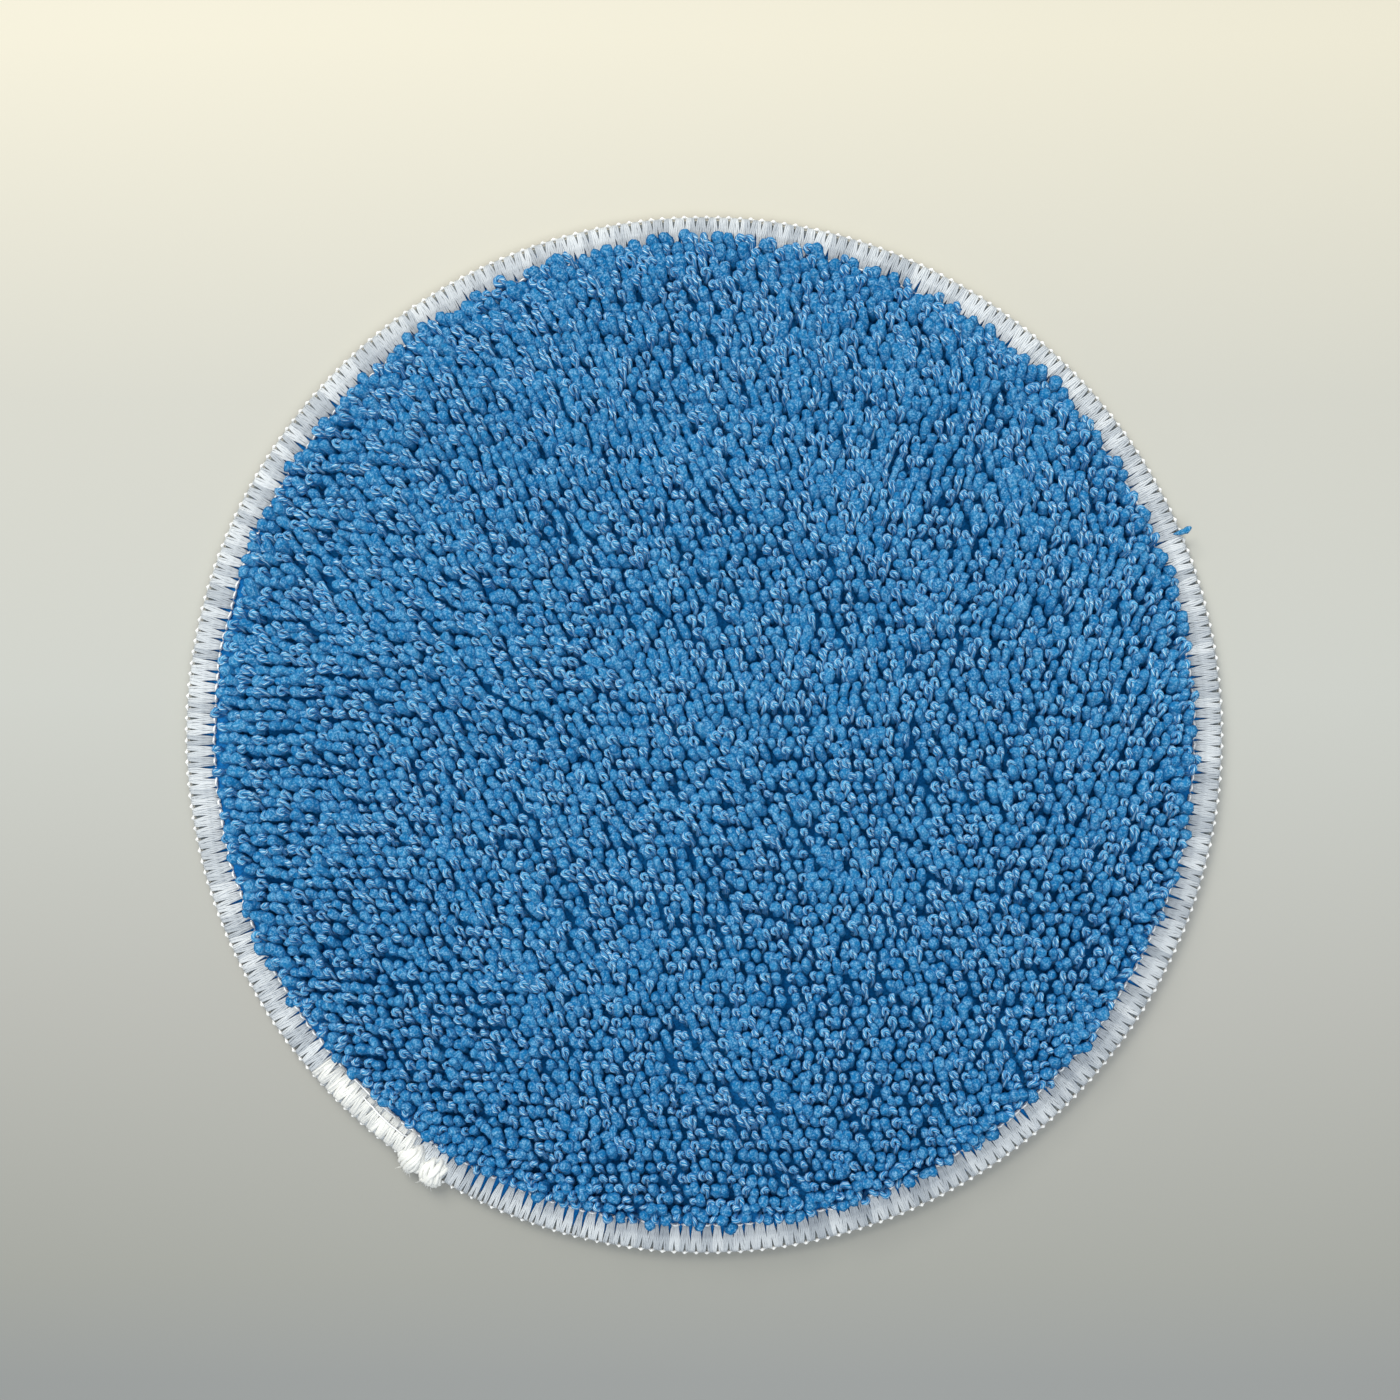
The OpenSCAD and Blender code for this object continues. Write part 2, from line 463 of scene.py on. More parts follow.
# The tips of the loops are set out in staggered, slightly uneven rows. Each loop leans with its
# neighbours, so its root is set back from its tip, but never out past the needle line.
pile_tree, ends = start_tree(
    "lay_pile", "GeometryNodeTree",
    [("Wale Spacing", "NodeSocketFloat"), ("Course Spacing", "NodeSocketFloat"),
     ("Pile Radius", "NodeSocketFloat"), ("Unevenness", "NodeSocketFloat"),
     ("Pale Share", "NodeSocketFloat"), ("Pale Yarn", "NodeSocketBool"),
     ("Strip", "NodeSocketInt"), ("Strips", "NodeSocketInt"),
     ("Loops", "NodeSocketCollection"), ("Loop Height", "NodeSocketFloat"),
     ("Flat Radius", "NodeSocketFloat"), ("Shoulder Radius", "NodeSocketFloat"),
     ("Middle Height", "NodeSocketFloat"), ("Edge Height", "NodeSocketFloat"),
     ("Lean", "NodeSocketFloat"), ("Turn Spread", "NodeSocketFloat"),
     ("Finish", "NodeSocketMaterial"), ("Seed", "NodeSocketInt")],
    [("Pile", "NodeSocketGeometry")])


def chance(tree, low, high, shift):
    """A random number for each point, from low to high. shift keeps it apart from the others."""
    vector = isinstance(low, tuple)
    return put(tree, "FunctionNodeRandomValue", low, high, None, ends["Seed"] + shift,
               data_type="FLOAT_VECTOR" if vector else "FLOAT")


def named(tree, name, kind="FLOAT"):
    """A value that was stored on the points."""
    return put(tree, "GeometryNodeInputNamedAttribute", name, data_type=kind)


def store(tree, geometry, name, value, kind="FLOAT"):
    """Keeps a value on each point, where later steps and the materials can read it."""
    return put(tree, "GeometryNodeStoreNamedAttribute", geometry, None, name, value,
               data_type=kind, domain="POINT")


def vector_of(tree, x, y, z):
    """A vector made of three values."""
    return put(tree, "ShaderNodeCombineXYZ", x, y, z)


def parts_of(tree, vector):
    """The three values that a vector is made of."""
    first = put(tree, "ShaderNodeSeparateXYZ", vector)
    return first, first.other("Y"), first.other("Z")


tree = pile_tree
grid_margin = 0.012
side_length = ends["Pile Radius"] * 2 + grid_margin
points = put(tree, "GeometryNodeMeshGrid", side_length, side_length,
             side_length / ends["Wale Spacing"], side_length / ends["Course Spacing"])
here = put(tree, "GeometryNodeInputPosition")
x, y, _ = parts_of(tree, here)
row = (y / ends["Course Spacing"]).maths("ROUND")
stagger = row.maths("FLOORED_MODULO", 2) * ends["Wale Spacing"] * 0.5
jitter = chance(tree, (-1, -1, 0), (1, 1, 0), 1) * ends["Unevenness"]
wander = put(tree, "ShaderNodeTexNoise", here, 60, 1, 0.5).other("Color") - 0.5
points = put(tree, "GeometryNodeSetPosition", points, None, None,
             jitter + wander * (0.0028, 0.0028, 0) + vector_of(tree, stagger, 0, 0))
column = (x / ends["Wale Spacing"]).maths("ROUND")
odd = (row + column).maths("FLOORED_MODULO", 2)
pale = chance(tree, 0.0, 1.0, 2).maths("LESS_THAN", odd * 0.66 + ends["Pale Share"] - 0.33)
points = store(tree, points, "pale", pale)
wrong_yarn = (named(tree, "pale") - ends["Pale Yarn"]).maths("ABSOLUTE")
strip_here = ((x / side_length + 0.5) * ends["Strips"]).maths("FLOOR")
wrong_strip = strip_here.maths("COMPARE", ends["Strip"], 0.5).maths("LESS_THAN", 0.5)

# The pile leans mostly one way, and drifts about that slowly over the pad: way is the heading and
# amount the bend, in radians. At the rim the loops stand up more and are pushed outwards. u, v and
# out give the place on the pad as shares of the pile's radius.
u = x / ends["Pile Radius"]
v = y / ends["Pile Radius"]
out = here.maths("LENGTH") / ends["Pile Radius"]
drift = put(tree, "ShaderNodeTexNoise", here, 28, 2, 0.5).other("Color") - 0.5
drift_x, drift_y, _ = parts_of(tree, drift)
way = u * (u * 0.12 - v * 0.15 - 0.5) + drift_x * 1.9 + 1.95
amount = v * (v * 0.12 + 0.22) + u * -0.06 + drift_y * 1.0 + 1.24
lean = vector_of(tree, way.maths("COSINE"), way.maths("SINE"), 0) * amount
at_rim = put(tree, "ShaderNodeMapRange", out, 0.90, 1.0, 0, 1, interpolation_type="SMOOTHSTEP")
lean = lean - lean * at_rim * (v * -0.25 + 0.45) + vector_of(tree, u, v, 0) * at_rim * (v * -0.25 + 0.45)
lean = (lean + chance(tree, (-0.32, -0.32, 0), (0.32, 0.32, 0), 3)) * ends["Lean"]
bend = lean.maths("LENGTH").maths("MAXIMUM", 0.05)
tip_reach = ends["Loop Height"] / bend / bend * (bend.maths("COSINE") * -1.0 + 1.0)
set_back = here - lean * tip_reach
root_gap = 0.0008
room = (ends["Pile Radius"] - root_gap) / set_back.maths("LENGTH")
root = set_back * room.maths("MINIMUM", 1)
floor_height = put(tree, "ShaderNodeMapRange", root.maths("LENGTH"), ends["Flat Radius"],
                   ends["Shoulder Radius"], ends["Middle Height"], ends["Edge Height"],
                   interpolation_type="SMOOTHSTEP")
points = store(tree, points, "lean", (here - root) / tip_reach, "FLOAT_VECTOR")
points = store(tree, points, "at_rim", at_rim)
points = store(tree, points, "root", root + vector_of(tree, 0, 0, floor_height), "FLOAT_VECTOR")
ragged = chance(tree, -0.0005, 0.0004, 9)
outside = here.maths("LENGTH").maths(
    "GREATER_THAN", ends["Pile Radius"] + v.maths("MAXIMUM", -0.1) * 0.0020 + ragged)
points = put(tree, "GeometryNodeDeleteGeometry", points,
             outside.maths("MAXIMUM", wrong_yarn).maths("MAXIMUM", wrong_strip), domain="POINT")
points = put(tree, "GeometryNodeSetPosition", points, None, named(tree, "root", "FLOAT_VECTOR"))
# Each loop has a tone of its own, and the pile's tone is lowered towards its far and near rims: painted
# shade.
points = store(tree, points, "tone", chance(tree, 0.0, 1.0, 4) - v * v * 0.75)

root = named(tree, "root", "FLOAT_VECTOR")
lean = named(tree, "lean", "FLOAT_VECTOR")
lean_x, lean_y, _ = parts_of(tree, lean)
turn = lean_y.maths("ARCTAN2", lean_x) + chance(tree, -1.0, 1.0, 5) * ends["Turn Spread"]
girth = chance(tree, 0.84, 1.12, 6) + named(tree, "at_rim") * 0.16
size = vector_of(tree, girth, girth, chance(tree, 0.84, 1.08, 7))
loops = put(tree, "GeometryNodeCollectionInfo", ends["Loops"], True, True)
pile = put(tree, "GeometryNodeInstanceOnPoints", points, None, loops, True,
           chance(tree, 0.0, 4.999, 8).maths("FLOOR"), vector_of(tree, 0, 0, turn), size)
pile = put(tree, "GeometryNodeRealizeInstances", pile)

# Each loop bends along an arc, from upright at its root to its full lean at the tip.
offset = here - root
rise = parts_of(tree, offset)[2]
lift = rise / ends["Loop Height"]
bend = lean.maths("LENGTH").maths("MAXIMUM", 0.05)
heading = lean.maths("NORMALIZE")
forward = offset.maths("DOT_PRODUCT", heading)
sideways = offset * (1, 1, 0) - heading * forward
arc = bend * lift
arc_radius = ends["Loop Height"] / bend
reach = arc_radius - arc_radius * arc.maths("COSINE") + forward * arc.maths("COSINE")
height = arc_radius * arc.maths("SINE") - forward * arc.maths("SINE")
bent = root + heading * reach + sideways + vector_of(tree, 0, 0, height)
sway = put(tree, "ShaderNodeTexNoise", here, 330, 1, 0.5).other("Color") - 0.5
lumps = put(tree, "ShaderNodeTexNoise", here, 1250, 1, 0.5).other("Color") - 0.5
moved = bent + sway * lift * 0.0008 + lumps * lift.maths("MINIMUM", 1) * 0.0008
pile = put(tree, "GeometryNodeSetPosition", pile, None, moved)
# The yarns' colours read how far up its loop a spot lies, and how much it faces upwards, and paint shade
# from both.
pile = store(tree, pile, "lift", lift)
pile = store(tree, pile, "crest", parts_of(tree, put(tree, "GeometryNodeInputNormal"))[2])
pile = put(tree, "GeometryNodeSetShadeSmooth", pile, None, True)
pile = put(tree, "GeometryNodeSetMaterial", pile, None, ends["Finish"])
end_tree(tree, pile)

# Twisted yarn: fibres that wind round a strand, and the small tufts into which they gather.
yarn, ends = start_tree(
    "twisted_yarn", "ShaderNodeTree",
    [("Twist", "NodeSocketFloat"), ("Fibres", "NodeSocketFloat"), ("Tuft Relief", "NodeSocketFloat")],
    [("Fibre", "NodeSocketFloat"), ("Tuft", "NodeSocketFloat"), ("Height", "NodeSocketFloat")])
around, length, _ = parts_of(yarn, put(yarn, "ShaderNodeUVMap", uv_map="along"))
wound = (around + length * ends["Twist"]) * ends["Fibres"]
streaks = put(yarn, "ShaderNodeTexNoise", vector_of(yarn, wound, length * 2.5, 0), 1, 2, 0.6)
place = put(yarn, "ShaderNodeTexCoord").other("Object")
stir = put(yarn, "ShaderNodeTexNoise", place, 1100, 2, 0.6).other("Color") - 0.5
tufts = put(yarn, "ShaderNodeTexVoronoi", place + stir * 0.0012, 1300)
fuzz = put(yarn, "ShaderNodeTexNoise", place, 2300, 3, 0.7)
tufts = tufts * -0.3 + fuzz * 1.2 + 0.06
end_tree(yarn, streaks, tufts, streaks * 0.5 + tufts * ends["Tuft Relief"])


def yarn_colour(material, made, low, high, bright, bright_share):
    """The colour of a yarn: its own tone, lowered towards the pad's far and near rims as painted shade;
    lighter towards the third colour by the given share; and painted shade at the root, in the creases
    between tufts and down the flanks that face away from the top."""
    flank_shade_blue = (0.0, 0.12, 0.39, 1)
    root_shade_blue = (0.0, 0.155, 0.45, 1)
    tree = material.node_tree
    tone = put(tree, "ShaderNodeAttribute", attribute_name="tone").other("Fac")
    lift = put(tree, "ShaderNodeAttribute", attribute_name="lift").other("Fac")
    # Painted shade: darker in the creases between tufts, near the root, and down the flanks that face
    # away from the top.
    crease_shade = put(tree, "ShaderNodeMapRange", made["Tuft"], 0.28, 0.44, 0.55, 0)
    root_shade = put(tree, "ShaderNodeMapRange", lift, 0.15, 0.60, 1, 0)
    crest = put(tree, "ShaderNodeAttribute", attribute_name="crest").other("Fac")
    flank_shade = put(tree, "ShaderNodeMapRange", crest, 0.10, 0.80, 0.9, 0)
    colour = mix(tree, tone, (*low, 1), (*high, 1))
    colour = mix(tree, bright_share, colour, (*bright, 1))
    colour = mix(tree, flank_shade.maths("MAXIMUM", crease_shade), colour, flank_shade_blue)
    return mix(tree, root_shade, colour, root_shade_blue)


soft_finish = cloth_finish("soft_microfibre", 0.90, 0.18, 0.45, (0.03, 0.50, 1.0))
tree = soft_finish.node_tree
made = group_in(soft_finish, yarn, Twist=1.5, Fibres=7.0, Tuft_Relief=1.0)
# The crowns of the tufts, where the relief is highest, are painted lighter: a painted highlight.
crown_highlight = put(tree, "ShaderNodeMapRange", made["Tuft"], 0.46, 0.72, 0, 0.85)
colour = yarn_colour(soft_finish, made, (0.011, 0.184, 0.435), (0.036, 0.264, 0.53),
                     (0.28, 0.57, 0.83), crown_highlight)
feed_shader(soft_finish, colour, made["Height"], 1.0, 0.0007)

pale_finish = cloth_finish("pale_filament", 0.62, 0.16, 0.4, (0.25, 0.70, 1.0))
tree = pale_finish.node_tree
made = group_in(pale_finish, yarn, Twist=1.8, Fibres=14.0, Tuft_Relief=0.4)
white = put(tree, "ShaderNodeMapRange", made["Fibre"], 0.50, 0.60, 0, 0.95)
colour = yarn_colour(pale_finish, made, (0.011, 0.18, 0.395), (0.042, 0.258, 0.47),
                     (0.58, 0.76, 0.80), white)
feed_shader(pale_finish, colour, made["Height"], 0.8, 0.0003)


def grow(name, tree, values):
    """Runs a Geometry Nodes tree on a new object and keeps what it makes as a plain mesh."""
    grown = bpy.data.objects.new(name, bpy.data.meshes.new(name))
    scene.collection.objects.link(grown)
    modifier = grown.modifiers.new("grow", "NODES")
    modifier.node_group = tree
    for item in tree.interface.items_tree:
        if item.in_out == "INPUT" and item.name in values:
            modifier[item.identifier] = values[item.name]
    graph = bpy.context.evaluated_depsgraph_get()
    mesh = bpy.data.meshes.new_from_object(
        grown.evaluated_get(graph), preserve_all_data_layers=True, depsgraph=graph)
    grown.modifiers.remove(modifier)
    grown.data = mesh
    return grown


root_depth = 0.0003
pile_values = {
    "Wale Spacing": 0.00206, "Course Spacing": 0.00216, "Pile Radius": needle_radius - 0.0001,
    "Unevenness": 0.00038, "Pale Share": 0.45, "Loop Height": loop_height,
    "Flat Radius": flat_radius, "Shoulder Radius": shoulder_radius,
    "Middle Height": level_height(3, 0) - root_depth, "Edge Height": rim_top - root_depth,
    "Lean": 1.0, "Seed": 11}
pile_parts = (
    ("soft_pile_loops", "soft_pile", "soft_yarn", False, 5, soft_loops, soft_finish, 3.14),
    ("pale_pile_loops", "scrub_pile", "scrub_yarn", True, 4, eye_loops, pale_finish, 0.6))
for name, node, slot, is_pale, strips, loops, finish, spread in pile_parts:
    for strip in range(strips):
        part = grow(f"{name}_{strip + 1}", pile_tree, {
            **pile_values, "Pale Yarn": is_pale, "Strip": strip, "Strips": strips,
            "Loops": loops, "Turn Spread": spread, "Finish": finish})
        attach(part, "root")
        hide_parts(node)

# One soft loop at the rim has been caught under the overlock; its tip comes out past the edge.
stray_angle = math.radians(23.1)
stray_way = Vector((math.cos(stray_angle), math.sin(stray_angle), 0))
stray_side = Vector((-stray_way.y, stray_way.x, 0))
stray_start = shoulder_radius
stray_out = 0.0019
stray_length = pad_radius + stray_out - stray_start
stray_rng = random.Random("stray")
stray_points = []
for i in range(16):
    share = i / 15
    stray_points.append(
        stray_way * (stray_start + stray_length * share)
        + stray_side * (0.0004 * math.sin(5 * share) + 0.0005 * share ** 6)
        + Vector((0, 0, rim_top + 0.0002 + 0.0012 * smooth(0.45, 0.8, share))))


def stray_thickness(share, turn):
    """Thin under the overlock, and swollen like any other loop outside it."""
    tip = math.sqrt(max(1 - max((share - 0.75) / 0.25, 0) ** 3, 0.1))
    swollen = 0.00018 + 0.00056 * smooth(0.55, 0.80, share) * tip
    return swollen * (0.85 + 0.15 * math.cos(turn * 2 + 22 * share)) * stray_rng.uniform(0.88, 1.12)


stray = join_strands("soft_pile_stray_loop", [strand(stray_points, stray_thickness, 9)],
                     finish=soft_finish)
for name, value in (("tone", 0.7), ("lift", 0.9), ("crest", 0.8)):
    layer = stray.data.attributes.new(name, "FLOAT", "POINT")
    layer.data.foreach_set("value", [value] * len(layer.data))
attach(stray, "root")
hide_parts("soft_pile")

# ---------------------------------------------------------------------------------------------
# The upper looper thread. Soft crimped yarn that runs to and fro over the edge, from the needle
# line out to the rim and back, once for each stitch.
seam_width = pad_radius - needle_radius
pitch = 0.0022
stitch_count = round(math.tau * pad_radius / pitch)
whole_turn = stitch_count * pitch


def leg(rng, hand, strands, thickness, width, fall):
    """One leg of a stitch: strands side by side from the needle line out and over the rim."""
    shapes = []
    slant = rng.uniform(-0.00016, 0.00016)
    for number in range(strands):
        place = (number + 0.5) / strands - 0.5
        rise = rng.uniform(-0.1, 0.2) * thickness
        wave = rng.uniform(0, math.tau)
        points = []
        for i in range(7):
            share = i / 6
            spread = width * (0.64 + 0.36 * math.sin(math.pi * share) ** 0.6)
            middle = 0.00027 + share * (pitch / 2 - 0.00052)
            x = middle + place * spread + slant * (1 - share) + 0.00007 * math.sin(wave + 9 * share)
            bow = math.sin(math.pi * min(share * 1.15, 1))
            points.append(Vector((
                hand * x, seam_width * min(share * 1.08, 1) - 0.0002 * (share < 0.1),
                thickness * (0.45 + 0.75 * bow) + rise - fall * smooth(0.84, 1, share))))
        swell = rng.uniform(0.9, 1.1)
        shapes.append(strand(points, lambda share, turn: thickness / 2 * swell * (
            0.8 + 0.2 * math.sin(math.pi * share)), 5))
    return shapes


def stitch_set(name, variants, strands, thickness, width, fall):
    """A collection of stitches, alike but for the lie of their strands."""
    collection = bpy.data.collections.new(name)
    for number in range(variants):
        rng = random.Random(f"{name}{number}")
        shapes = leg(rng, -1, strands, thickness, width, fall)
        shapes += leg(rng, 1, strands, thickness, width, fall)
        join_strands(f"{name}_{number}", shapes, collection=collection)
    return collection


# The stitches are laid out along a straight line, then the line is bent round the pad.
sew_tree, ends = start_tree(
    "sew_round", "GeometryNodeTree",
    [("Stitches", "NodeSocketCollection"), ("Count", "NodeSocketInt"),
     ("Pitch", "NodeSocketFloat"), ("Start", "NodeSocketFloat"), ("Whole Turn", "NodeSocketFloat"),
     ("Inner Radius", "NodeSocketFloat"), ("Seam Width", "NodeSocketFloat"),
     ("Height", "NodeSocketFloat"), ("Side", "NodeSocketFloat"), ("Wander", "NodeSocketFloat"),
     ("Size Spread", "NodeSocketFloat"), ("Loose Start", "NodeSocketFloat"),
     ("Loose Share", "NodeSocketFloat"), ("Finish", "NodeSocketMaterial"),
     ("Seed", "NodeSocketInt")],
    [("Seam", "NodeSocketGeometry")])
tree = sew_tree
points = put(tree, "GeometryNodeMeshLine", ends["Count"],
             vector_of(tree, ends["Start"], 0, 0), vector_of(tree, ends["Pitch"], 0, 0))
points = store(tree, points, "tone", chance(tree, 0.0, 1.0, 1))
spread = ends["Size Spread"]
# Just past the lap, where the machine had started, the stitches are narrower and less even.
turn_share = parts_of(tree, put(tree, "GeometryNodeInputPosition"))[0] / ends["Whole Turn"]
loose = (turn_share - ends["Loose Start"]).maths("FLOORED_MODULO", 1).maths(
    "LESS_THAN", ends["Loose Share"])
size = chance(tree, -1.0, 1.0, 2) * spread + 1 - loose * chance(tree, 0.05, 0.35, 6)
tall = chance(tree, -1.0, 1.0, 3) * spread + 1
stitches = put(tree, "GeometryNodeCollectionInfo", ends["Stitches"], True, True)
seam = put(tree, "GeometryNodeInstanceOnPoints", points, None, stitches, True,
           chance(tree, 0.0, 5.999, 4).maths("FLOOR"), None, vector_of(tree, size, 1, tall))
seam = put(tree, "GeometryNodeRealizeInstances", seam)
here = put(tree, "GeometryNodeInputPosition")
x, y, z = parts_of(tree, here)
angle = x / ends["Whole Turn"] * math.tau
round_way = vector_of(tree, angle.maths("COSINE"), angle.maths("SINE"), 0)
slow = put(tree, "ShaderNodeTexNoise", round_way * 9, 1, 2, 0.5) - 0.5
quick = put(tree, "ShaderNodeTexNoise", round_way * 90, 1, 1, 0.5) - 0.5
inwards = (y / ends["Seam Width"] - 1) * ends["Wander"]
radius = ends["Inner Radius"] + y + inwards * (slow * 2 + quick)
wrapped = round_way * radius + vector_of(tree, 0, 0, z * ends["Side"] + ends["Height"])
seam = put(tree, "GeometryNodeSetPosition", seam, None, wrapped)
seam = put(tree, "GeometryNodeSetShadeSmooth", seam, None, True)
seam = put(tree, "GeometryNodeSetMaterial", seam, None, ends["Finish"])
end_tree(tree, seam)

# Thread: white filaments lying along the strand, greyer between them, where the Shade colour is painted
# shade in the grooves.
thread, ends = start_tree(
    "crimped_thread", "ShaderNodeTree",
    [("Colour", "NodeSocketColor"), ("Shade", "NodeSocketColor"), ("Filaments", "NodeSocketFloat")],
    [("Colour", "NodeSocketColor"), ("Height", "NodeSocketFloat")])
around, length, _ = parts_of(thread, put(thread, "ShaderNodeUVMap", uv_map="along"))
lines = put(thread, "ShaderNodeTexNoise",
            vector_of(thread, (around + length * 0.7) * ends["Filaments"], length * 4, 0), 1, 2, 0.6)
tone = put(thread, "ShaderNodeAttribute", attribute_name="tone").other("Fac")
share = put(thread, "ShaderNodeMapRange", lines * 0.8 + tone * 0.25, 0.35, 0.65, 0, 1)
end_tree(thread, mix(thread, share, ends["Shade"], ends["Colour"]), lines)


def thread_finish(name, colour, shade, filaments):
    """The finish of a sewing thread."""
    material = cloth_finish(name, 0.62, 0.25, 0.4, (1, 1, 1))
    made = group_in(material, thread, Colour=(*colour, 1), Shade=(*shade, 1), Filaments=filaments)
    feed_shader(material, made["Colour"], made["Height"], 0.6, 0.00018)
    return material


tail_low, tail_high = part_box("thread_tail")
tail_middle = (tail_low + tail_high) / 2
lap_turn = math.atan2(tail_middle.y, tail_middle.x) / math.tau % 1
looper_finish = thread_finish("crimped_white", (0.63, 0.66, 0.67), (0.34, 0.375, 0.405), 16.0)
stitches = stitch_set("stitch", 6, 3, 0.00052, 0.00112, 0.0011)
seam_values = {
    "Stitches": stitches, "Count": stitch_count, "Pitch": pitch, "Whole Turn": whole_turn,
    "Inner Radius": needle_radius, "Seam Width": seam_width, "Height": rim_top, "Side": 1.0,
    "Wander": 0.0006, "Size Spread": 0.11, "Finish": looper_finish, "Seed": 5,
    "Loose Start": lap_turn + 0.018, "Loose Share": 0.055}
upper = grow("upper_looper_yarn", sew_tree, seam_values)
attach(upper, "root")
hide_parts("upper_looper_thread")

# ---------------------------------------------------------------------------------------------
# The lower looper thread. The same yarn under the edge, and the chain of links along the rim in
# which the two loopers lock each other over the cut edge of the cloth.
lower = grow("lower_looper_yarn", sew_tree, {
    **seam_values, "Height": rim_bottom, "Side": -0.6, "Seed": 6})
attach(lower, "root")
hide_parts("lower_looper_thread")

purl_links = bpy.data.collections.new("purl_links")
for number in range(6):
    rng = random.Random(f"purl{number}")
    line = []
    for i in range(9):
        share = i / 8 - 0.5
        line.append(Vector((share * pitch * 1.04,
                            seam_width - 0.00008 + 0.00012 * math.cos(math.tau * share),
                            0.00045 + 0.00015 * math.cos(math.tau * share))))
    bead_at = Vector((rng.uniform(-0.0001, 0.0001), seam_width + 0.00008, 0.00055))
    bead = [bead_at + Vector((0.00021 * (i - 2), 0, 0)) for i in range(5)]
    low_line = [Vector((point.x, point.y, -point.z)) for point in line]
    shapes = [strand(line, lambda share, turn: 0.00017, 5),
              strand(low_line, lambda share, turn: 0.00017, 5),
              strand(bead, lambda share, turn: 0.0001 + 0.00031 * math.sin(math.pi * share), 6)]
    join_strands(f"purl_{number}", shapes, collection=purl_links)
purl_finish = thread_finish("tight_white", (0.86, 0.86, 0.83), (0.72, 0.73, 0.72), 6.0)
purl = grow("rim_purl", sew_tree, {
    **seam_values, "Stitches": purl_links, "Finish": purl_finish, "Seed": 7,
    "Height": (rim_top + rim_bottom) / 2})
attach(purl, "root")
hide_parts("lower_looper_thread")

# ---------------------------------------------------------------------------------------------
# The needle thread. Fine glossy thread that goes down through all three layers at each stitch
# and shows as one short dash per stitch on each side, along the inner edge of the overlock.
dashes = bpy.data.collections.new("needle_dashes")
for number in range(6):
    rng = random.Random(f"dash{number}")
    slant = rng.uniform(-0.00012, 0.00012)
    points = [Vector((pitch * 0.40 * (i / 3 - 1), slant * (i / 3 - 1) + 0.00005,
                      0.0009 * math.sin(math.pi * i / 6) - 0.0001)) for i in range(7)]
    join_strands(f"dash_{number}", [strand(points, lambda share, turn: 0.00021, 6)],
                 collection=dashes)
needle_finish = thread_finish("smooth_white", (0.94, 0.94, 0.91), (0.82, 0.83, 0.82), 5.0)
for name, height, side in (("needle_line_above", rim_top, 1.0),
                           ("needle_line_below", rim_bottom, -0.6)):
    line = grow(name, sew_tree, {
        **seam_values, "Stitches": dashes, "Finish": needle_finish, "Height": height, "Side": side,
        "Size Spread": 0.03})
    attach(line, "root")
    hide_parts("needle_thread")

# ---------------------------------------------------------------------------------------------
# The seam lap. The end of the overlock runs over its start: a second row of legs on top of the
# first, two fat tufts of yarn that bulge over the rim, and two slack runs of needle thread.
lap_finish = thread_finish("fluffy_white", (0.76, 0.76, 0.71), (0.56, 0.57, 0.55), 12.0)
lap_start = (lap_turn - 0.035) * whole_turn
lap_stitches = stitch_set("lap_stitch", 6, 3, 0.00066, 0.00098, 0.0011)
lap_row = grow("lap_legs", sew_tree, {
    **seam_values, "Stitches": lap_stitches, "Count": 11, "Pitch": pitch * 1.02,
    "Start": lap_start, "Loose Share": 0.0, "Height": rim_top + 0.0003, "Size Spread": 0.14,
    "Finish": lap_finish, "Seed": 8})

tufts = bpy.data.collections.new("tufts")
for number in range(6):
    rng = random.Random(f"tuft{number}")
    shapes = []
    for layer, (count, half_width, puff) in enumerate(((9, 0.0024, 1.0), (7, 0.0019, 1.45))):
        for i in range(count):
            across = half_width * (2 * i / (count - 1) - 1) + rng.uniform(-0.0003, 0.0003)
            full = math.sqrt(max(1 - (across / (half_width * 1.12)) ** 2, 0.05))
            wave = rng.uniform(0, math.tau)
            points = []
            for j in range(10):
                share = j / 9
                turn = math.pi * (share * 1.12 - 0.02)
                points.append(Vector((
                    across + 0.00040 * math.sin(wave + 8 * share),
                    seam_width - 0.0010 - 0.0029 * full * math.cos(turn)
                    + 0.00012 * math.sin(wave * 2 + 9 * share),
                    (0.00125 * puff * full * math.sin(turn) - 0.0009 * smooth(0.8, 1, share)))))
            thick = rng.uniform(0.00042, 0.00060)
            shapes.append(strand(points, lambda share, turn: thick * (
                0.75 + 0.25 * math.sin(math.pi * share)), 6))
    join_strands(f"tuft_{number}", shapes, collection=tufts)
tuft_pitch = 0.0048
tuft_start = (lap_turn + 0.0040) * whole_turn
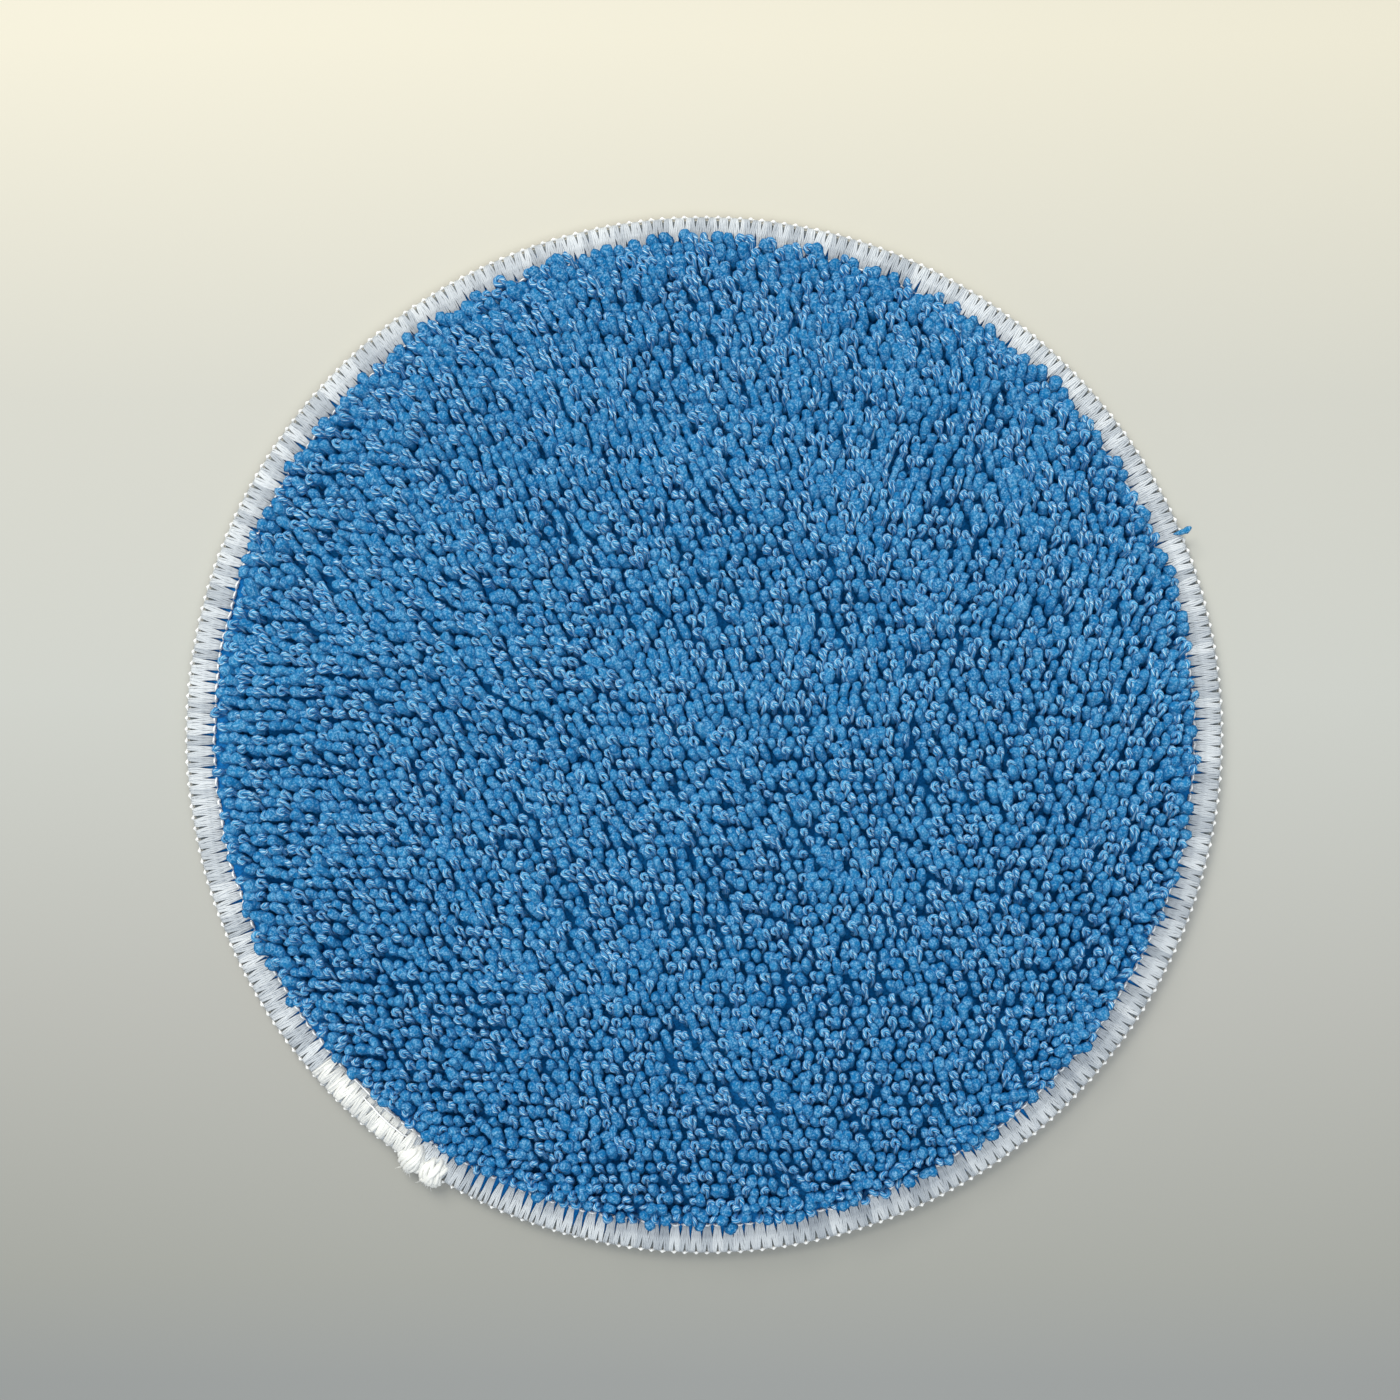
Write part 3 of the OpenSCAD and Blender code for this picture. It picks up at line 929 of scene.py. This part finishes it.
tuft_pair = grow("lap_tufts", sew_tree, {
    **seam_values, "Stitches": tufts, "Count": 2, "Pitch": tuft_pitch, "Loose Share": 0.0,
    "Start": tuft_start, "Size Spread": 0.06,
    "Height": rim_top, "Finish": lap_finish, "Seed": 9})

slack = bpy.data.collections.new("slack_needle_thread")
for number in range(6):
    rng = random.Random(f"slack{number}")
    shapes = []
    for start, y, rise in ((0, -0.0003, 0.0023), (0.005, 0.0015, 0.0012)):
        points = [Vector((start + 0.013 * i / 8, y + rng.uniform(-0.00015, 0.00015),
                          0.0010 + rise * math.sin(math.pi * i / 8) ** 0.5)) for i in range(9)]
        shapes.append(strand(points, lambda share, turn: 0.00016, 6))
    join_strands(f"slack_{number}", shapes, collection=slack)
slack_run = grow("lap_slack_thread", sew_tree, {
    **seam_values, "Stitches": slack, "Count": 1, "Loose Share": 0.0, "Size Spread": 0.0,
    "Start": lap_start + 0.004, "Finish": needle_finish, "Seed": 10})
for part in (lap_row, tuft_pair, slack_run):
    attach(part, "root")
    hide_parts("seam_lap")

# ---------------------------------------------------------------------------------------------
# The thread tail. The trimmed end of the thread chain: a small brush of frayed filaments that
# stands out of the lap, past the rim.
frays = bpy.data.collections.new("frays")
for number in range(6):
    rng = random.Random(f"fray{number}")
    shapes = []
    for i in range(16):
        side = rng.uniform(-0.6, 0.6)
        lift = rng.uniform(-0.6, 0.3)
        length = rng.uniform(0.0014, 0.0026)
        points = [Vector((
            0.0010 * side + side * length * share ** 1.5 * 0.8,
            seam_width + 0.0012 + length * share * 0.7,
            -0.0004 + lift * length * share)) for share in (0, 0.25, 0.5, 0.75, 1)]
        shapes.append(strand(points, lambda share, turn: 0.00010 * (1 - 0.6 * share), 4))
    join_strands(f"fray_{number}", shapes, collection=frays)
tail = grow("frayed_tail", sew_tree, {
    **seam_values, "Stitches": frays, "Count": 2, "Pitch": tuft_pitch, "Loose Share": 0.0,
    "Start": tuft_start, "Size Spread": 0.1,
    "Finish": lap_finish, "Seed": 12})
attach(tail, "root")
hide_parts("thread_tail")
